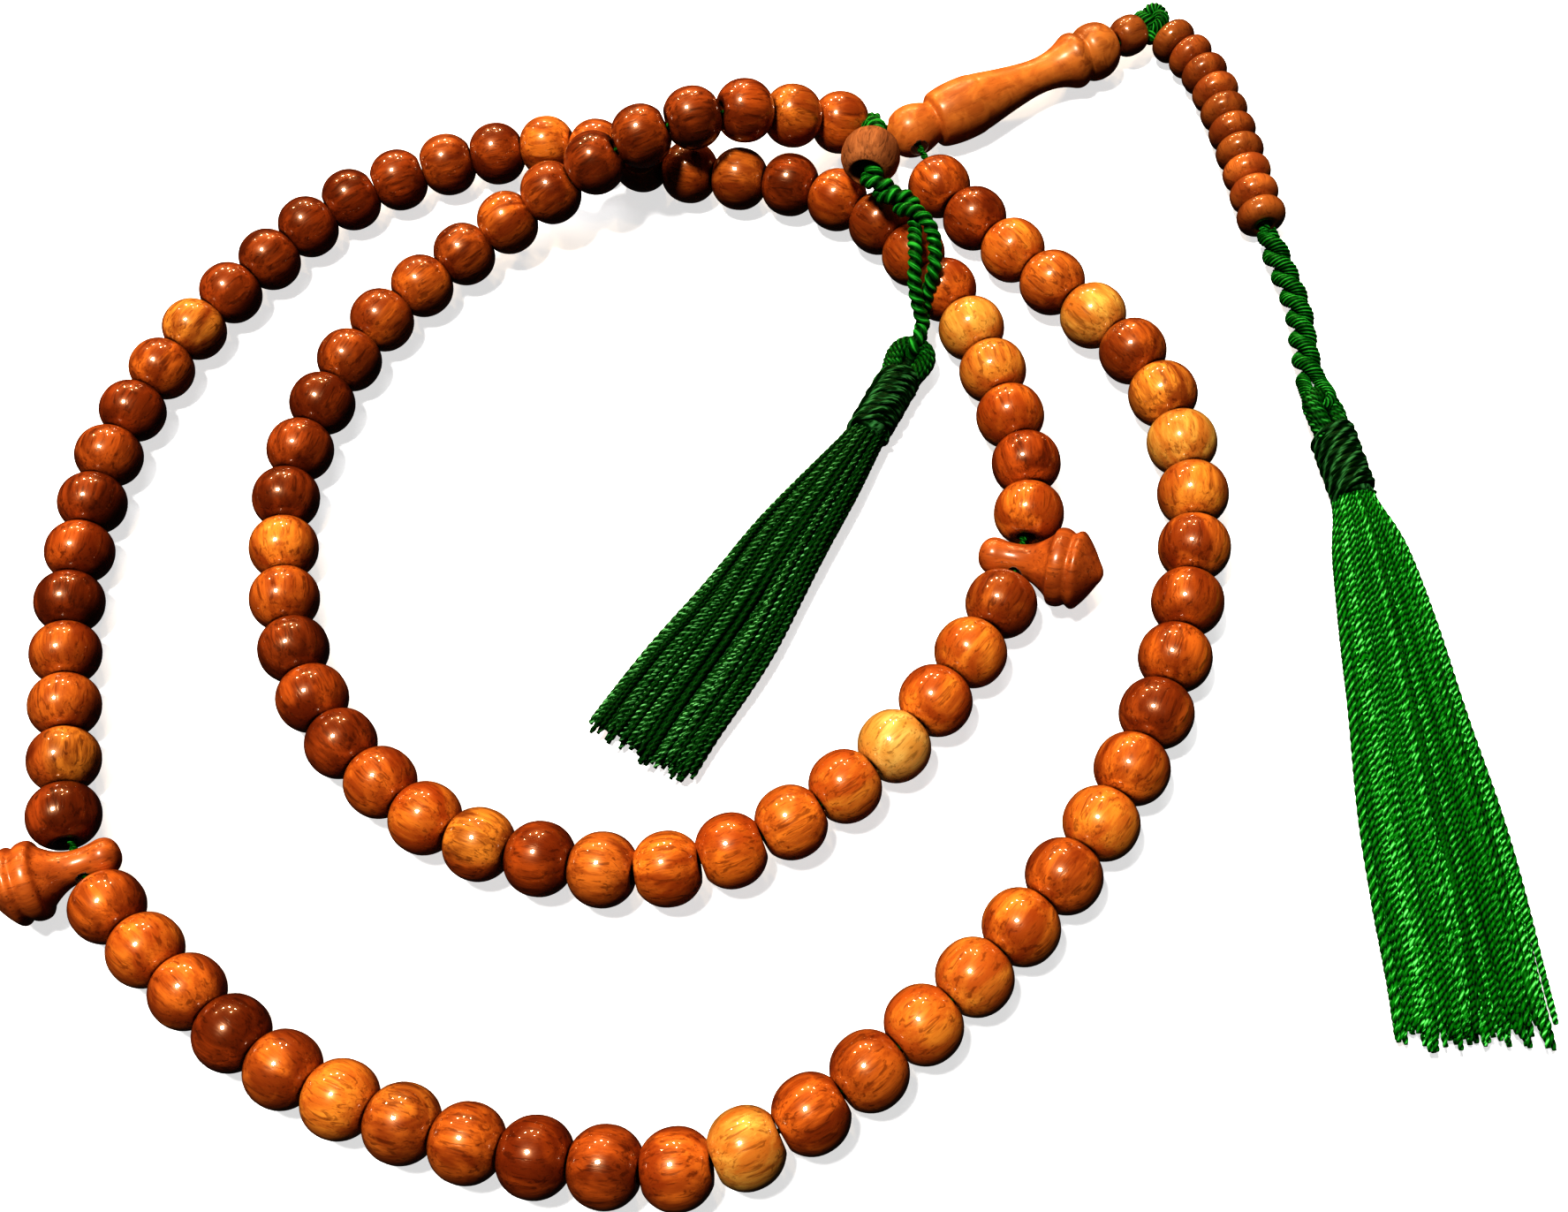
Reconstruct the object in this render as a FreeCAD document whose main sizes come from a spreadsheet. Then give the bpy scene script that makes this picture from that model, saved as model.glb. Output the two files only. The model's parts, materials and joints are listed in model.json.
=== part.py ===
"""Misbaha, a strand of 99 wooden prayer beads with a turned leader, two separators and two tassels.

The strand lies on a table as a double loop that crosses over itself once.  The frame is in millimetres:
+Z is up, Z = 0 is the surface that the strand lies on, and the origin is under the middle of the layout.
"""
import FreeCAD, Part
import math
import os
import re

import Sketcher
from FreeCAD import Placement, Rotation, Vector

UP = Vector(0, 0, 1)

# Driving dimensions, in millimetres.  Each becomes a named cell of the sheet.
SIZES = {
    # counting beads
    "bead_radius": 4.0,
    "bead_length": 6.5,
    "bead_face": 1.15,
    "bead_mouth": 1.1,
    "bead_bore": 1.0,
    # cords
    "main_cord": 0.5,
    "leader_cord": 0.75,
    "tail_cord": 1.7,
    "hanger_cord": 1.05,
    "loop_cord": 0.5,
    # leader, the turned piece that both ends of the strand run into
    "leader_length": 34.0,
    "leader_ball": 3.4,
    "leader_belly": 4.0,
    "leader_neck": 2.25,
    "leader_ring": 3.7,
    "leader_bore": 0.95,
    "leader_side_hole": 1.2,
    # separators
    "separator_length": 14.2,
    "separator_waist_at": 4.6,
    "separator_waist": 1.8,
    "separator_nub": 2.1,
    "separator_ring": 4.4,
    "separator_hole": 0.9,
    # small bead and the ten counters on the leader's cord
    "end_bead_radius": 2.65,
    "end_bead_length": 4.2,
    "counter_radius": 3.0,
    "counter_length": 3.15,
    "counter_bore": 0.95,
    # cup bead over the short tassel's cord
    "cup_radius": 3.7,
    "cup_length": 5.9,
    "cup_mouth": 2.0,
    "cup_bore": 1.25,
    # tassels
    "eye_radius": 2.0,
    "eye_thickness": 0.95,
    "link_radius": 1.75,
    "binding_radius": 2.6,
    "binding_length": 9.2,
    "skirt_thickness": 2.4,
}

# Route of the main cord: out of the leader's ball, round the outer loop, round the inner loop, over the
# outer loop and back into the ball.
MAIN_ROUTE = [
    (37.3, 55.9, 4.0), (38.1, 47.6, 4.0), (45.9, 33.9, 4.0), (58.1, 13.3, 4.0), (57.8, -5.5, 4.0),
    (50.2, -24.1, 4.0), (37.8, -40.9, 4.0), (20.8, -54.3, 4.0), (3.3, -64.0, 4.0), (-10.2, -67.4, 4.0),
    (-31.2, -60.9, 4.0), (-50.2, -49.9, 4.0), (-65.2, -32.4, 4.0), (-72.6, -21.6, 4.0),
    (-73.0, -5.6, 4.0), (-73.4, 9.4, 4.0), (-69.0, 31.2, 4.0), (-58.4, 47.3, 4.0), (-39.2, 63.3, 4.0),
    (-23.7, 66.7, 4.0), (-10.2, 66.4, 4.0), (-2.9, 63.8, 4.0), (3.7, 59.2, 4.0), (11.3, 55.3, 4.0),
    (21.7, 51.5, 4.0), (30.6, 43.3, 4.0), (38.5, 24.9, 4.0), (40.4, 0.4, 4.0), (33.9, -13.2, 4.0),
    (19.3, -27.6, 4.0), (4.9, -34.9, 4.0), (-9.2, -37.4, 4.0), (-30.7, -29.1, 4.0), (-43.2, -13.6, 4.0),
    (-47.6, 0.4, 4.0), (-47.2, 19.9, 4.0), (-42.0, 31.9, 4.0), (-34.6, 42.5, 4.0), (-18.7, 53.3, 4.0),
    (1.8, 56.7, 12.7), (14.3, 58.5, 12.7), (28.4, 60.2, 4.5), (36.2, 57.2, 4.0),
]
BEADS = 33  # in each of the three sections
SECTIONS = 3
FIRST_BEAD_AT = 9.2
LAST_BEAD_BEFORE_END = 8.4
SEPARATOR_AT = (239.0, 468.7)  # along the main route
BEAD_BEFORE_SEPARATOR = (6.3, 6.2)
BEAD_AFTER_SEPARATOR = (6.5, 5.9)
SEPARATOR_HEADING = (192.0, -27.0)
SEPARATOR_TILT = 6.0
SPINNING_BEADS = range(1, 30, 3)  # in each section, the beads that have a node of their own

LEADER_BALL = Vector(37.20, 56.90, 4.0)
LEADER_HEADING = 16.5

COUNTER_ROUTE = [
    (73.1, 67.9, 3.1), (74.5, 64.5, 3.1), (76.3, 60.3, 3.1), (77.2, 54.9, 3.1), (77.3, 46.4, 3.1),
    (76.7, 31.8, 3.1),
]
COUNTERS = 10
FIRST_COUNTER_AT = 3.4
COUNTER_PITCH = 3.53
KNOT = Vector(72.50, 68.70, 3.1)
END_BEAD = Vector(68.68, 66.46, 3.87)

TAIL_ROUTE = [
    (76.7, 31.4, 2.8), (77.1, 25.7, 2.3), (77.3, 18.9, 2.0), (75.9, 12.9, 2.0), (75.3, 8.6, 2.4),
]
LONG_EYE = Vector(75.20, 3.90, 3.2)
LONG_EYE_ROLL = 68.0
LONG_HEADING = -91.0
LONG_SKIRT = [  # x, y, half of the width, half of the thickness
    (74.9, -8.5, 2.4, 2.3), (74.5, -14.1, 4.2, 2.6), (72.9, -27.1, 5.7, 2.3), (70.8, -44.1, 7.0, 1.9),
    (67.3, -67.3, 8.2, 1.5),
]

LOOP = Vector(32.40, 58.80, 4.2)
CUP = Vector(30.30, 47.50, 11.2)
CUP_AXIS = Vector(-0.34, -0.93, 0.05)
HANGER_ROUTE = [
    (32.2, 56.9, 5.9), (32.1, 52.3, 10.9), (28.8, 43.3, 11.5), (32.9, 39.6, 11.0), (34.4, 35.8, 10.6),
    (33.9, 31.0, 10.1), (32.6, 28.3, 7.4), (32.4, 26.2, 4.2),
]
SHORT_EYE = Vector(30.00, 22.10, 3.0)
SHORT_HEADING = 233.0
SHORT_SKIRT = [
    (22.5, 12.2, 2.4, 2.3), (17.4, 6.5, 3.7, 2.4), (10.3, -0.7, 5.3, 2.2), (3.3, -8.7, 6.2, 1.9),
    (-8.9, -21.8, 7.7, 1.5),
]

doc = FreeCAD.newDocument("misbaha")
sheet = doc.addObject("Spreadsheet::Sheet", "Sizes")
for row, (alias, value) in enumerate(SIZES.items(), 1):
    sheet.set(f"A{row}", alias)
    sheet.set(f"B{row}", str(value))
    sheet.setAlias(f"B{row}", alias)
doc.recompute()

nodes = []


def bound(formula):
    """A formula of sheet aliases, such as bead_length / 2, as an expression that names the sheet."""
    return re.sub(r"[a-z_]+", lambda word: "Sizes." + word.group(), formula)


def amount(formula):
    return float(sheet.evalExpression(bound(formula)))


def along(axis, centre, turn=0.0):
    """A placement whose own Z lies along axis, at centre, turned about that axis."""
    return Placement(centre, Rotation(UP, axis) * Rotation(UP, turn))


def heading_vector(heading, tilt=0.0):
    """The unit vector at a compass-like heading in degrees from +X, tilted up out of the table."""
    level = math.cos(math.radians(tilt))
    turn = math.radians(heading)
    return Vector(level * math.cos(turn), level * math.sin(turn), math.sin(math.radians(tilt)))


def keep(feature, label):
    feature.Label = label
    nodes.append(feature)
    return feature


# ---------------------------------------------------------------------------------------------------------
# Turned pieces: an outline of (height, radius) points and arcs, turned about the piece's own Z axis.
# ---------------------------------------------------------------------------------------------------------

def pin(sketch, item, end, height, radius):
    """Holds one point of the outline at formulas for its height and radius."""
    for kind, formula, axis in (("DistanceX", radius, -2), ("DistanceY", height, -1)):
        if amount(formula) == 0:
            sketch.addConstraint(Sketcher.Constraint("PointOnObject", item, end, axis))
        else:
            held = sketch.addConstraint(Sketcher.Constraint(kind, -1, 1, item, end, amount(formula)))
            sketch.setExpression(f"Constraints[{held}]", bound(formula))


def outline_sketch(body, outline):
    """A closed outline: each entry is a (height, radius) corner, with a middle point first for an arc."""
    plane = next(f for f in body.Origin.OriginFeatures if f.Role == "XZ_Plane")
    sketch = body.newObject("Sketcher::SketchObject", body.Name + "_outline")
    sketch.AttachmentSupport = (plane, [""])
    sketch.MapMode = "FlatFace"

    def spot(height, radius):
        return Vector(amount(radius), amount(height), 0)

    corners = [entry[-2:] for entry in outline]
    count = len(outline)
    for place in range(count):
        before, entry = corners[place - 1], outline[place]
        if len(entry) == 2:
            edge = Part.LineSegment(spot(*before), spot(*entry))
        else:
            edge = Part.Arc(spot(*before), spot(*entry[:2]), spot(*entry[2:]))
        sketch.addGeometry(edge, False)
    # A sketch counts an arc's ends anticlockwise, so its start and end may be swapped.
    ends = []
    for place in range(count):
        first = spot(*corners[place - 1])
        forward = (sketch.getPoint(place, 1).distanceToPoint(first)
                   < sketch.getPoint(place, 2).distanceToPoint(first))
        ends.append((1, 2) if forward else (2, 1))
    for place in range(count):
        following = (place + 1) % count
        sketch.addConstraint(
            Sketcher.Constraint("Coincident", place, ends[place][1], following, ends[following][0]))
    for place in range(count):
        pin(sketch, place, ends[place][1], *corners[place])
        if len(outline[place]) == 4:
            middle = sketch.addGeometry(Part.Point(spot(*outline[place][:2])), True)
            sketch.addConstraint(Sketcher.Constraint("PointOnObject", middle, 1, place))
            pin(sketch, middle, 1, *outline[place][:2])
    return sketch


def turned(name, outline, placement):
    body = doc.addObject("PartDesign::Body", name)
    sketch = outline_sketch(body, outline)
    turn = body.newObject("PartDesign::Revolution", name + "_turned")
    turn.Profile = sketch
    turn.ReferenceAxis = (sketch, ["V_Axis"])
    turn.Angle = 360
    body.Tip = turn
    body.Placement = placement
    return body


def round_bead_outline(radius, length, face, mouth, bore):
    """A bead with a small flat face round each mouth of its bore."""
    ease = f"({mouth} - {bore})"
    return [
        ("0", mouth), ("0", face), (f"{length} / 2", radius, length, face), (length, mouth),
        (f"{length} - {ease}", bore), (ease, bore),
    ]


BEAD_OUTLINE = round_bead_outline("bead_radius", "bead_length", "bead_face", "bead_mouth", "bead_bore")
END_BEAD_OUTLINE = round_bead_outline(
    "end_bead_radius", "end_bead_length", "1.5", "1.2", "leader_bore")
COUNTER_OUTLINE = round_bead_outline(
    "counter_radius", "counter_length", "1.4", "1.2", "counter_bore")
CUP_OUTLINE = [
    ("0", "cup_bore + 0.3"), ("0", "cup_mouth"),
    ("cup_length / 2", "cup_radius", "cup_length", "cup_mouth + 0.2"), ("cup_length", "cup_mouth"),
    ("cup_length - 2.2", "cup_bore"), ("0.3", "cup_bore"),
]
SEPARATOR_OUTLINE = [
    ("0", "0"), ("0.25", "0.9"), ("0.5", "1.5"), ("1.5", "separator_nub", "2.4", "2.0"),
    ("separator_waist_at + 0.1", "separator_waist", "separator_waist_at + 3.3", "3.3"),
    ("separator_waist_at + 3.7", "3.9"), ("separator_waist_at + 3.9", "separator_ring - 0.1"),
    ("separator_waist_at + 4.9", "separator_ring + 0.05",
     "separator_waist_at + 5.8", "separator_ring - 0.35"),
    ("separator_waist_at + 6.6", "separator_ring",
     "separator_waist_at + 7.3", "separator_ring - 0.5"),
    ("separator_length - 0.5", "1.3"), ("separator_length - 0.1", "0.8"), ("separator_length", "0"),
]
LEADER_OUTLINE = [
    ("0", "0"), ("leader_ball", "leader_ball", "6.5", "1.9 + 0.75"),
    ("7.0", "3.55"), ("10.6", "leader_belly", "13.4", "3.65"),
    ("22.6", "leader_neck", "26.8", "3.1"), ("27.6", "leader_ring", "28.4", "leader_ring - 0.15"),
    ("28.95", "leader_ring - 0.6"), ("30.9", "leader_ring", "leader_length - 0.3", "1.9"),
    ("leader_length", "leader_bore + 0.25"), ("leader_length - 0.3", "leader_bore"),
    ("leader_ball - 0.9", "leader_bore"), ("leader_ball - 0.9", "0"),
]

# ---------------------------------------------------------------------------------------------------------
# Cords: straight runs joined by tangent arcs, each as large as its two runs allow.
# ---------------------------------------------------------------------------------------------------------

ARC_SHARE = 0.45  # of the shorter run, taken up by each end of an arc


def rounded_route(points, note):
    """The edges of a route, in order.  Prints its tightest radius."""
    points = [Vector(*point) for point in points]
    edges, start, radii = [], points[0], []
    for before, corner, after in zip(points, points[1:], points[2:]):
        back, ahead = before - corner, after - corner
        reach = ARC_SHARE * min(back.Length, ahead.Length)
        half_turn = (math.pi - back.getAngle(ahead)) / 2
        radius = reach / math.tan(half_turn)
        inward = (back.normalize() + ahead.normalize()).normalize()
        begin, end = corner + back * reach, corner + ahead * reach
        middle = corner + inward * (radius / math.cos(half_turn) - radius)
        edges += [Part.LineSegment(start, begin).toShape(), Part.Arc(begin, middle, end).toShape()]
        start = end
        radii.append(radius)
    edges.append(Part.LineSegment(start, points[-1]).toShape())
    print(f"{note}: {sum(edge.Length for edge in edges):.1f} mm long, radii "
          + " ".join(f"{radius:.0f}" for radius in radii))
    return edges


def station(edges, distance):
    """The point and direction at a distance along a route."""
    for edge in edges:
        if distance <= edge.Length or edge is edges[-1]:
            at = edge.getParameterByLength(min(distance, edge.Length))
            return edge.valueAt(at), edge.tangentAt(at)
        distance -= edge.Length


def tube(name, edges, radius):
    """A round cord along a route, swept from a circle whose radius is a cell of the sheet."""
    spine = doc.addObject("Part::Feature", name + "_route")
    spine.Shape = Part.Wire(edges)
    ring = doc.addObject("Part::Circle", name + "_section")
    ring.setExpression("Radius", bound(radius))
    start, direction = station(edges, 0)
    ring.Placement = along(direction, start)
    sweep = doc.addObject("Part::Sweep", name + "_tube")
    sweep.Sections = [ring]
    sweep.Spine = (spine, [f"Edge{number}" for number in range(1, len(edges) + 1)])
    sweep.Solid = True
    return sweep


def check_tube(sweep, edges, radius):
    section = math.pi * amount(radius) ** 2
    length = sum(edge.Length for edge in edges)
    share = sweep.Shape.Volume / (section * length)
    print(f"{sweep.Label}: volume over section times length = {share:.4f}")
    if abs(share - 1) > 0.02:
        raise RuntimeError(f"{sweep.Label} has the wrong volume")


def torus(name, centre, axis, radius, thickness):
    ring = doc.addObject("Part::Torus", name)
    ring.setExpression("Radius1", bound(radius))
    ring.setExpression("Radius2", bound(thickness))
    ring.Placement = along(axis, centre)
    return ring


def joined(name, parts):
    """Several separate solids as one sub-part."""
    group = doc.addObject("Part::Compound", name)
    group.Links = parts
    return group


# ---------------------------------------------------------------------------------------------------------
# The strand
# ---------------------------------------------------------------------------------------------------------

main_edges = rounded_route(MAIN_ROUTE, "main cord")
main_length = sum(edge.Length for edge in main_edges)
main_tube = tube("main_cord", main_edges, "main_cord")
keep(main_tube, "main_cord")

section_starts = [FIRST_BEAD_AT] + [at + gap for at, gap in zip(SEPARATOR_AT, BEAD_AFTER_SEPARATOR)]
section_ends = [at - gap for at, gap in zip(SEPARATOR_AT, BEAD_BEFORE_SEPARATOR)]
section_ends.append(main_length - LAST_BEAD_BEFORE_END)

bead_pattern = turned("bead_pattern", BEAD_OUTLINE, Placement())
doc.recompute()
half_bead = Vector(0, 0, -SIZES["bead_length"] / 2)


def bead_placement(section, number):
    """Where one bead of a section sits: number runs from 1 to BEADS."""
    start, end = section_starts[section], section_ends[section]
    centre, direction = station(main_edges, start + (end - start) * (number - 1) / (BEADS - 1))
    return along(direction, centre).multiply(Placement(half_bead, Rotation()))


for section in range(SECTIONS):
    pitch = (section_ends[section] - section_starts[section]) / (BEADS - 1)
    print(f"section {section + 1}: bead pitch {pitch:.3f} mm")
    rest = []
    for number in range(1, BEADS + 1):
        if number in SPINNING_BEADS:
            name = f"bead_{section * BEADS + number:02d}"
            keep(turned(name, BEAD_OUTLINE, bead_placement(section, number)), name)
        else:
            rest.append(bead_pattern.Shape.transformed(bead_placement(section, number).toMatrix()))
    group = doc.addObject("Part::Feature", f"beads_section_{section + 1}")
    group.Shape = Part.makeCompound(rest)
    keep(group, f"beads_section_{section + 1}")

for index, (at, heading) in enumerate(zip(SEPARATOR_AT, SEPARATOR_HEADING), 1):
    waist, direction = station(main_edges, at)
    axis = heading_vector(heading, SEPARATOR_TILT)
    small_end = waist - axis * SIZES["separator_waist_at"]
    blank = turned(f"separator_{index}_turned", SEPARATOR_OUTLINE, along(axis, small_end, 40))
    drill = doc.addObject("Part::Cylinder", f"separator_{index}_hole")
    drill.setExpression("Radius", bound("separator_hole"))
    drill.Height = 2 * SIZES["separator_ring"]
    drill.Placement = along(direction, waist - direction * SIZES["separator_ring"])
    cut = doc.addObject("Part::Cut", f"separator_{index}_drilled")
    cut.Base, cut.Tool = blank, drill
    keep(cut, f"separator_{index}")

# ---------------------------------------------------------------------------------------------------------
# The leader, its cord, the knot, the small end bead and the ten counters
# ---------------------------------------------------------------------------------------------------------

leader_axis = heading_vector(LEADER_HEADING)
leader_blank = turned("leader_turned", LEADER_OUTLINE,
                      along(leader_axis, LEADER_BALL - leader_axis * SIZES["leader_ball"]))
side_holes = []
for side, distance in (("out", 0.0), ("back", main_length)):
    point, direction = station(main_edges, distance)
    outward = direction if side == "out" else direction * -1
    hole = doc.addObject("Part::Cylinder", f"leader_hole_{side}")
    hole.setExpression("Radius", bound("leader_side_hole"))
    hole.Height = SIZES["leader_ball"] + 1
    hole.Placement = along(outward, LEADER_BALL)
    side_holes.append(hole)
first_cut = doc.addObject("Part::Cut", "leader_one_hole")
first_cut.Base, first_cut.Tool = leader_blank, side_holes[0]
leader = doc.addObject("Part::Cut", "leader_drilled")
leader.Base, leader.Tool = first_cut, side_holes[1]
keep(leader, "leader")

leader_end = LEADER_BALL + leader_axis * (SIZES["leader_length"] - SIZES["leader_ball"])
end_direction = (END_BEAD - leader_end).normalize()
bore_route = [LEADER_BALL + leader_axis * 1.3, leader_end - leader_axis, END_BEAD + end_direction * 3.0]
bore_edges = rounded_route(bore_route, "leader cord")
counter_edges = rounded_route(COUNTER_ROUTE, "counter cord")
bore_cord = tube("bore_cord", bore_edges, "leader_cord")
counter_cord = tube("counter_cord", counter_edges, "leader_cord")
keep(joined("leader_cords", [bore_cord, counter_cord]), "leader_cord")

keep(turned("end_bead", END_BEAD_OUTLINE,
            along(end_direction, END_BEAD - end_direction * (SIZES["end_bead_length"] / 2))), "end_bead")

KNOT_LOBES = [  # centre, axis, how the lobes of the knot wrap over each other
    (Vector(0.0, 0.2, 0.0), Vector(1.0, 0.6, 0.3)),
    (Vector(0.4, -0.5, 0.3), Vector(-0.5, 1.0, 0.4)),
]
lobes = [torus(f"knot_lobe_{number}", KNOT + centre, axis, "0.95", "0.8")
         for number, (centre, axis) in enumerate(KNOT_LOBES, 1)]
core = doc.addObject("Part::Sphere", "knot_core")
core.Radius = 1.3
core.Placement.Base = KNOT
knot = doc.addObject("Part::MultiFuse", "knot_lobes")
knot.Shapes = lobes + [core]
keep(knot, "knot")

for number in range(1, COUNTERS + 1):
    centre, direction = station(counter_edges, FIRST_COUNTER_AT + COUNTER_PITCH * (number - 1))
    name = f"counter_{number:02d}"
    start = centre - direction * (SIZES["counter_length"] / 2)
    keep(turned(name, COUNTER_OUTLINE, along(direction, start)), name)

# ---------------------------------------------------------------------------------------------------------
# Tassels: a cord, a link at its end, an eye, a binding and a skirt
# ---------------------------------------------------------------------------------------------------------


def skirt(name, sections):
    """A flattened cone of threads, lofted through upright ovals from the binding to the cut ends."""
    ovals = []
    for number, (x, y, half_width, half_thickness) in enumerate(sections):
        before, after = sections[max(number - 1, 0)], sections[min(number + 1, len(sections) - 1)]
        direction = Vector(after[0] - before[0], after[1] - before[1], 0).normalize()
        side = UP.cross(direction)
        oval = doc.addObject("Part::Ellipse", f"{name}_oval_{number + 1}")
        oval.MajorRadius, oval.MinorRadius = half_width, half_thickness
        oval.Placement = Placement(Vector(x, y, half_thickness + 0.3), Rotation(side, UP, direction, "ZXY"))
        ovals.append(oval)
    loft = doc.addObject("Part::Loft", name + "_loft")
    loft.Sections = ovals
    loft.Solid = True
    loft.Ruled = True
    return keep(loft, name)


def tassel(name, eye_centre, eye_axis, heading, sections):
    """The eye, the binding and the skirt, which hang together."""
    direction = heading_vector(heading)
    eye = torus(name + "_eye_ring", eye_centre, eye_axis, "eye_radius", "eye_thickness")
    keep(eye, name + "_eye")
    start = eye_centre + direction * (SIZES["eye_radius"] + SIZES["eye_thickness"] + 0.03)
    start.z = SIZES["binding_radius"] + 0.25
    outline = [
        ("0", "0"), ("0", "binding_radius - 0.4"), ("0.4", "binding_radius"),
        ("binding_length - 0.4", "binding_radius"), ("binding_length", "binding_radius - 0.4"),
        ("binding_length", "0"),
    ]
    keep(turned(name + "_binding", outline, along(direction, start)), name + "_binding")
    skirt(name + "_skirt", sections)


tail_edges = rounded_route(TAIL_ROUTE, "tail cord")
tail_tube = tube("tail", tail_edges, "tail_cord")
long_direction = heading_vector(LONG_HEADING)
long_link = torus("tail_link", LONG_EYE - long_direction * SIZES["eye_radius"], UP,
                  "link_radius", "loop_cord")
keep(joined("tail", [tail_tube, long_link]), "tail_cord")
roll = math.radians(LONG_EYE_ROLL)
long_side = UP.cross(long_direction)
tassel("long_tassel", LONG_EYE, long_side * math.sin(roll) + UP * math.cos(roll), LONG_HEADING, LONG_SKIRT)

hanger_edges = rounded_route(HANGER_ROUTE, "hanger cord")
hanger_tube = tube("hanger", hanger_edges, "hanger_cord")
short_direction = heading_vector(SHORT_HEADING)
short_link = torus("hanger_link", SHORT_EYE - short_direction * SIZES["eye_radius"],
                   UP.cross(short_direction), "link_radius", "loop_cord")
keep(joined("hanger", [hanger_tube, short_link]), "hanger_cord")
loop_centre, loop_axis = min((station(main_edges, main_length - back) for back in range(2, 10)),
                             key=lambda found: found[0].distanceToPoint(LOOP))
keep(torus("hanger_loop_ring", loop_centre, loop_axis, "1.35", "loop_cord"), "hanger_loop")
cup_axis = Vector(CUP_AXIS).normalize()
keep(turned("cup_bead", CUP_OUTLINE, along(cup_axis, CUP - cup_axis * (SIZES["cup_length"] / 2))), "cup_bead")
tassel("short_tassel", SHORT_EYE, UP, SHORT_HEADING, SHORT_SKIRT)

# ---------------------------------------------------------------------------------------------------------
# Checks and files
# ---------------------------------------------------------------------------------------------------------

doc.recompute()
for obj in doc.Objects:
    if "Invalid" in obj.State or "Error" in obj.State:
        raise RuntimeError(f"{obj.Label} failed to build: {obj.State}")
check_tube(main_tube, main_edges, "main_cord")
check_tube(tail_tube, tail_edges, "tail_cord")
check_tube(hanger_tube, hanger_edges, "hanger_cord")
check_tube(counter_cord, counter_edges, "leader_cord")
check_tube(bore_cord, bore_edges, "leader_cord")

os.makedirs("parts", exist_ok=True)
for node in nodes:
    if node.Shape.isNull() or not node.Shape.isValid() or not node.Shape.Solids:
        raise RuntimeError(f"{node.Label} isn't a valid solid")
    node.Shape.exportStep(f"parts/{node.Label}.step")
whole = Part.makeCompound([node.Shape for node in nodes]).optimalBoundingBox(False)
print(f"{len(nodes)} nodes, X {whole.XMin:.2f} {whole.XMax:.2f}, Y {whole.YMin:.2f} {whole.YMax:.2f}, "
      f"Z {whole.ZMin:.2f} {whole.ZMax:.2f}")
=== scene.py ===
"""Misbaha: a strand of 99 glossy wooden beads with a leader, two separators and two green tassels.

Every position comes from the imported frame, apart from the two free cords, whose routes are repeated here.
Lengths are in metres.
"""

import json
import math
import random

import bmesh
import bpy
import numpy as np
from mathutils import Matrix, Vector


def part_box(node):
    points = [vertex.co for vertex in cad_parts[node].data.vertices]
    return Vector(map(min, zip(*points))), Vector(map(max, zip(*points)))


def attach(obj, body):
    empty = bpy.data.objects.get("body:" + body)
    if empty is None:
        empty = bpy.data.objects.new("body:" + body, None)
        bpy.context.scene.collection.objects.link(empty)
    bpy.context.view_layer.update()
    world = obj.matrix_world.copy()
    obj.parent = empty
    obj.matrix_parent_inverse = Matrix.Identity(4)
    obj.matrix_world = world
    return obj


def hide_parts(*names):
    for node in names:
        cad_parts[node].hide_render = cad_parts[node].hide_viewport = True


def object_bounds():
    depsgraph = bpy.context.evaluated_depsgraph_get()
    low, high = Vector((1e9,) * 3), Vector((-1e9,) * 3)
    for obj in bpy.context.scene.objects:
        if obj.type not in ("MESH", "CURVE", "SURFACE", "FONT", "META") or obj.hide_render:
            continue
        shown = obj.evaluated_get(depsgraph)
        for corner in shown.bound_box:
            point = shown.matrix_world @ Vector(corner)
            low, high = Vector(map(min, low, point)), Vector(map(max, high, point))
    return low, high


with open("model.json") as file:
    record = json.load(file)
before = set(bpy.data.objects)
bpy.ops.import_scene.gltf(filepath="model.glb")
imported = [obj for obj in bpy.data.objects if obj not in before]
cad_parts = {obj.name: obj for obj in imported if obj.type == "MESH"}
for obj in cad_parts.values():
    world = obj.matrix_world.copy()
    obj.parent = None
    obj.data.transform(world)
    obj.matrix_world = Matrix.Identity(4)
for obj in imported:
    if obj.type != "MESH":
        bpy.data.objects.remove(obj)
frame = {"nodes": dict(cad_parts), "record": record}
cad_low, cad_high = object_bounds()
MM = 0.001
UP = np.array([0.0, 0.0, 1.0])
joints = {joint["name"]: joint for joint in frame["record"]["behaviour"]["joints"]}

# ---------------------------------------------------------------------------------------------------------
# Camera, lights and floor
# ---------------------------------------------------------------------------------------------------------

CAMERA_AT = Vector((9.3, -95.6, 168.0)) * MM
CAMERA_PITCH = math.radians(90 - 62.07)
CAMERA_ROLL = math.radians(-10.71)
KEY_AT = Vector((-165, 35, 870)) * MM
DAYLIGHT = (1.0, 0.98, 0.95)
LAMPLIGHT = (1.0, 0.7, 0.42)
CEILING_LAMPS = [  # x, y, z, size, power: small and warm, for the second highlights high up on each bead
    (-0.25, 1.15, 0.62, 0.06, 2.2), (0.05, 1.2, 0.58, 0.07, 2.4), (0.36, 1.1, 0.6, 0.06, 2.0),
    (-0.55, 0.9, 0.72, 0.05, 1.5), (0.2, 0.95, 0.85, 0.05, 1.5),
]


def area_light(name, place, size, power, colour=(1, 1, 1)):
    """A round lamp that points at the origin."""
    lamp = bpy.data.lights.new(name, "AREA")
    lamp.shape = "DISK"
    lamp.size = size
    lamp.energy = power
    lamp.color = colour
    obj = bpy.data.objects.new(name, lamp)
    obj.location = place
    obj.rotation_euler = (-obj.location).to_track_quat("-Z", "Y").to_euler()
    bpy.context.collection.objects.link(obj)
    return obj


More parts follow.
